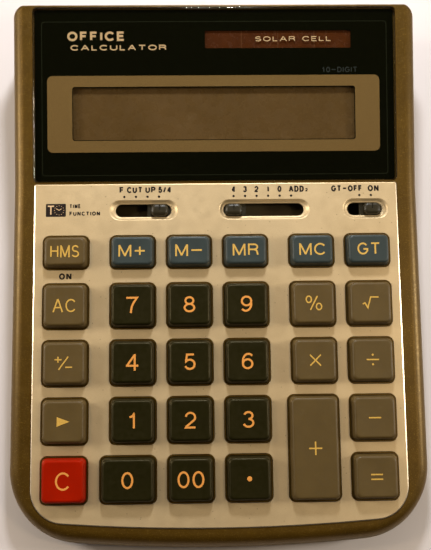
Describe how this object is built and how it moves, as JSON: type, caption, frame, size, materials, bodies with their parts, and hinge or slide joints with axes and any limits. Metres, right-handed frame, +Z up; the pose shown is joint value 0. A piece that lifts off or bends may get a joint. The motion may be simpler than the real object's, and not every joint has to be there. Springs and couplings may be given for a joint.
{
  "type": "desk calculator",
  "caption": "Desk calculator: sprung keys under a metal face plate, slide switches, LCD and solar cell behind a tilted window, two-part case with a sliding battery door.",
  "frame": {"origin": "on the table, under the middle of the case", "axes": "+X to the user's right, +Y from the user towards the display, +Z up"},
  "size_m": [0.14, 0.1828, 0.0319],
  "materials": {
    "case_plastic": "fine textured olive-brown moulding with a faint metallic sparkle",
    "face_metal": "champagne anodised sheet, fine satin grain",
    "window_acrylic": "clear polished acrylic sheet",
    "mask_print": "black printed film with a warm grey frame around the display",
    "lcd_panel": "blank olive-brown liquid crystal panel",
    "holder_plastic": "plain moulded",
    "grey_rubber": "soft silicone",
    "solar_film": "red-brown amorphous silicon behind glass",
    "circuit_board": "phenolic board",
    "capacitor_sleeve": "shrunk sleeve",
    "epoxy": "moulded epoxy",
    "flat_film": "amber polyimide film",
    "nickel_plate": "nickel plated steel",
    "foot_rubber": "matt",
    "screw_steel": "zinc plated",
    "knob_plastic": "satin grey-brown",
    "number_key_plastic": "satin near-black",
    "function_key_plastic": "satin taupe",
    "memory_key_plastic": "satin slate blue",
    "clear_key_plastic": "satin red"
  },
  "bodies": {
    "case": {"upper_case": "case_plastic", "lower_case": "case_plastic", "face_plate": "face_metal", "display_window": "window_acrylic", "window_mask": "mask_print", "lcd_glass": "lcd_panel", "lcd_holder": "holder_plastic", "lcd_connector": "grey_rubber", "solar_cell": "solar_film", "display_board": "circuit_board", "capacitor": "capacitor_sleeve", "main_board": "circuit_board", "dome_mat": "grey_rubber", "processor_chip": "epoxy", "ribbon_cable": "flat_film", "battery_cell": "nickel_plate", "battery_contact_plus": "nickel_plate", "battery_contact_minus": "nickel_plate", "foot_front_left": "foot_rubber", "foot_front_right": "foot_rubber", "foot_rear_left": "foot_rubber", "foot_rear_right": "foot_rubber", "screw_front_left": "screw_steel", "screw_front_right": "screw_steel", "screw_rear_left": "screw_steel", "screw_rear_right": "screw_steel"},
    "rounding_knob": {"rounding_knob": "knob_plastic"},
    "decimal_knob": {"decimal_knob": "knob_plastic"},
    "grand_total_knob": {"grand_total_knob": "knob_plastic"},
    "battery_door": {"battery_door": "case_plastic"},
    "key_hms": {"key_hms": "function_key_plastic"},
    "key_memory_plus": {"key_memory_plus": "memory_key_plastic"},
    "key_memory_minus": {"key_memory_minus": "memory_key_plastic"},
    "key_memory_recall": {"key_memory_recall": "memory_key_plastic"},
    "key_memory_clear": {"key_memory_clear": "memory_key_plastic"},
    "key_grand_total": {"key_grand_total": "memory_key_plastic"},
    "key_all_clear": {"key_all_clear": "function_key_plastic"},
    "key_7": {"key_7": "number_key_plastic"},
    "key_8": {"key_8": "number_key_plastic"},
    "key_9": {"key_9": "number_key_plastic"},
    "key_percent": {"key_percent": "function_key_plastic"},
    "key_root": {"key_root": "function_key_plastic"},
    "key_sign": {"key_sign": "function_key_plastic"},
    "key_4": {"key_4": "number_key_plastic"},
    "key_5": {"key_5": "number_key_plastic"},
    "key_6": {"key_6": "number_key_plastic"},
    "key_multiply": {"key_multiply": "function_key_plastic"},
    "key_divide": {"key_divide": "function_key_plastic"},
    "key_backspace": {"key_backspace": "function_key_plastic"},
    "key_1": {"key_1": "number_key_plastic"},
    "key_2": {"key_2": "number_key_plastic"},
    "key_3": {"key_3": "number_key_plastic"},
    "key_plus": {"key_plus": "function_key_plastic"},
    "key_minus": {"key_minus": "function_key_plastic"},
    "key_clear": {"key_clear": "clear_key_plastic"},
    "key_0": {"key_0": "number_key_plastic"},
    "key_00": {"key_00": "number_key_plastic"},
    "key_point": {"key_point": "number_key_plastic"},
    "key_equals": {"key_equals": "function_key_plastic"}
  },
  "joints": [
    {"name": "key_hms_press", "type": "slide", "parent": "case", "child": "key_hms", "axis": [0, 0.0698, -0.9976], "range_m": [0, 0.002], "stiffness_N_per_m": 300, "springref_m": -0.001, "deforming": ["dome_mat"]},
    {"name": "key_memory_plus_press", "type": "slide", "parent": "case", "child": "key_memory_plus", "axis": [0, 0.0698, -0.9976], "range_m": [0, 0.002], "stiffness_N_per_m": 300, "springref_m": -0.001, "deforming": ["dome_mat"]},
    {"name": "key_memory_minus_press", "type": "slide", "parent": "case", "child": "key_memory_minus", "axis": [0, 0.0698, -0.9976], "range_m": [0, 0.002], "stiffness_N_per_m": 300, "springref_m": -0.001, "deforming": ["dome_mat"]},
    {"name": "key_memory_recall_press", "type": "slide", "parent": "case", "child": "key_memory_recall", "axis": [0, 0.0698, -0.9976], "range_m": [0, 0.002], "stiffness_N_per_m": 300, "springref_m": -0.001, "deforming": ["dome_mat"]},
    {"name": "key_memory_clear_press", "type": "slide", "parent": "case", "child": "key_memory_clear", "axis": [0, 0.0698, -0.9976], "range_m": [0, 0.002], "stiffness_N_per_m": 300, "springref_m": -0.001, "deforming": ["dome_mat"]},
    {"name": "key_grand_total_press", "type": "slide", "parent": "case", "child": "key_grand_total", "axis": [0, 0.0698, -0.9976], "range_m": [0, 0.002], "stiffness_N_per_m": 300, "springref_m": -0.001, "deforming": ["dome_mat"]},
    {"name": "key_all_clear_press", "type": "slide", "parent": "case", "child": "key_all_clear", "axis": [0, 0.0698, -0.9976], "range_m": [0, 0.002], "stiffness_N_per_m": 300, "springref_m": -0.001, "deforming": ["dome_mat"]},
    {"name": "key_7_press", "type": "slide", "parent": "case", "child": "key_7", "axis": [0, 0.0698, -0.9976], "range_m": [0, 0.002], "stiffness_N_per_m": 300, "springref_m": -0.001, "deforming": ["dome_mat"]},
    {"name": "key_8_press", "type": "slide", "parent": "case", "child": "key_8", "axis": [0, 0.0698, -0.9976], "range_m": [0, 0.002], "stiffness_N_per_m": 300, "springref_m": -0.001, "deforming": ["dome_mat"]},
    {"name": "key_9_press", "type": "slide", "parent": "case", "child": "key_9", "axis": [0, 0.0698, -0.9976], "range_m": [0, 0.002], "stiffness_N_per_m": 300, "springref_m": -0.001, "deforming": ["dome_mat"]},
    {"name": "key_percent_press", "type": "slide", "parent": "case", "child": "key_percent", "axis": [0, 0.0698, -0.9976], "range_m": [0, 0.002], "stiffness_N_per_m": 300, "springref_m": -0.001, "deforming": ["dome_mat"]},
    {"name": "key_root_press", "type": "slide", "parent": "case", "child": "key_root", "axis": [0, 0.0698, -0.9976], "range_m": [0, 0.002], "stiffness_N_per_m": 300, "springref_m": -0.001, "deforming": ["dome_mat"]},
    {"name": "key_sign_press", "type": "slide", "parent": "case", "child": "key_sign", "axis": [0, 0.0698, -0.9976], "range_m": [0, 0.002], "stiffness_N_per_m": 300, "springref_m": -0.001, "deforming": ["dome_mat"]},
    {"name": "key_4_press", "type": "slide", "parent": "case", "child": "key_4", "axis": [0, 0.0698, -0.9976], "range_m": [0, 0.002], "stiffness_N_per_m": 300, "springref_m": -0.001, "deforming": ["dome_mat"]},
    {"name": "key_5_press", "type": "slide", "parent": "case", "child": "key_5", "axis": [0, 0.0698, -0.9976], "range_m": [0, 0.002], "stiffness_N_per_m": 300, "springref_m": -0.001, "deforming": ["dome_mat"]},
    {"name": "key_6_press", "type": "slide", "parent": "case", "child": "key_6", "axis": [0, 0.0698, -0.9976], "range_m": [0, 0.002], "stiffness_N_per_m": 300, "springref_m": -0.001, "deforming": ["dome_mat"]},
    {"name": "key_multiply_press", "type": "slide", "parent": "case", "child": "key_multiply", "axis": [0, 0.0698, -0.9976], "range_m": [0, 0.002], "stiffness_N_per_m": 300, "springref_m": -0.001, "deforming": ["dome_mat"]},
    {"name": "key_divide_press", "type": "slide", "parent": "case", "child": "key_divide", "axis": [0, 0.0698, -0.9976], "range_m": [0, 0.002], "stiffness_N_per_m": 300, "springref_m": -0.001, "deforming": ["dome_mat"]},
    {"name": "key_backspace_press", "type": "slide", "parent": "case", "child": "key_backspace", "axis": [0, 0.0698, -0.9976], "range_m": [0, 0.002], "stiffness_N_per_m": 300, "springref_m": -0.001, "deforming": ["dome_mat"]},
    {"name": "key_1_press", "type": "slide", "parent": "case", "child": "key_1", "axis": [0, 0.0698, -0.9976], "range_m": [0, 0.002], "stiffness_N_per_m": 300, "springref_m": -0.001, "deforming": ["dome_mat"]},
    {"name": "key_2_press", "type": "slide", "parent": "case", "child": "key_2", "axis": [0, 0.0698, -0.9976], "range_m": [0, 0.002], "stiffness_N_per_m": 300, "springref_m": -0.001, "deforming": ["dome_mat"]},
    {"name": "key_3_press", "type": "slide", "parent": "case", "child": "key_3", "axis": [0, 0.0698, -0.9976], "range_m": [0, 0.002], "stiffness_N_per_m": 300, "springref_m": -0.001, "deforming": ["dome_mat"]},
    {"name": "key_plus_press", "type": "slide", "parent": "case", "child": "key_plus", "axis": [0, 0.0698, -0.9976], "range_m": [0, 0.002], "stiffness_N_per_m": 300, "springref_m": -0.001, "deforming": ["dome_mat"]},
    {"name": "key_minus_press", "type": "slide", "parent": "case", "child": "key_minus", "axis": [0, 0.0698, -0.9976], "range_m": [0, 0.002], "stiffness_N_per_m": 300, "springref_m": -0.001, "deforming": ["dome_mat"]},
    {"name": "key_clear_press", "type": "slide", "parent": "case", "child": "key_clear", "axis": [0, 0.0698, -0.9976], "range_m": [0, 0.002], "stiffness_N_per_m": 300, "springref_m": -0.001, "deforming": ["dome_mat"]},
    {"name": "key_0_press", "type": "slide", "parent": "case", "child": "key_0", "axis": [0, 0.0698, -0.9976], "range_m": [0, 0.002], "stiffness_N_per_m": 300, "springref_m": -0.001, "deforming": ["dome_mat"]},
    {"name": "key_00_press", "type": "slide", "parent": "case", "child": "key_00", "axis": [0, 0.0698, -0.9976], "range_m": [0, 0.002], "stiffness_N_per_m": 300, "springref_m": -0.001, "deforming": ["dome_mat"]},
    {"name": "key_point_press", "type": "slide", "parent": "case", "child": "key_point", "axis": [0, 0.0698, -0.9976], "range_m": [0, 0.002], "stiffness_N_per_m": 300, "springref_m": -0.001, "deforming": ["dome_mat"]},
    {"name": "key_equals_press", "type": "slide", "parent": "case", "child": "key_equals", "axis": [0, 0.0698, -0.9976], "range_m": [0, 0.002], "stiffness_N_per_m": 300, "springref_m": -0.001, "deforming": ["dome_mat"]},
    {"name": "rounding_knob_slide", "type": "slide", "parent": "case", "child": "rounding_knob", "axis": [1, 0, 0], "range_m": [-0.01185, 0]},
    {"name": "decimal_knob_slide", "type": "slide", "parent": "case", "child": "decimal_knob", "axis": [1, 0, 0], "range_m": [0, 0.01975]},
    {"name": "grand_total_knob_slide", "type": "slide", "parent": "case", "child": "grand_total_knob", "axis": [1, 0, 0], "range_m": [-0.00395, 0]},
    {"name": "battery_door_slide", "type": "slide", "parent": "case", "child": "battery_door", "axis": [0, 1, 0], "range_m": [0, 0.026]}
  ]
}
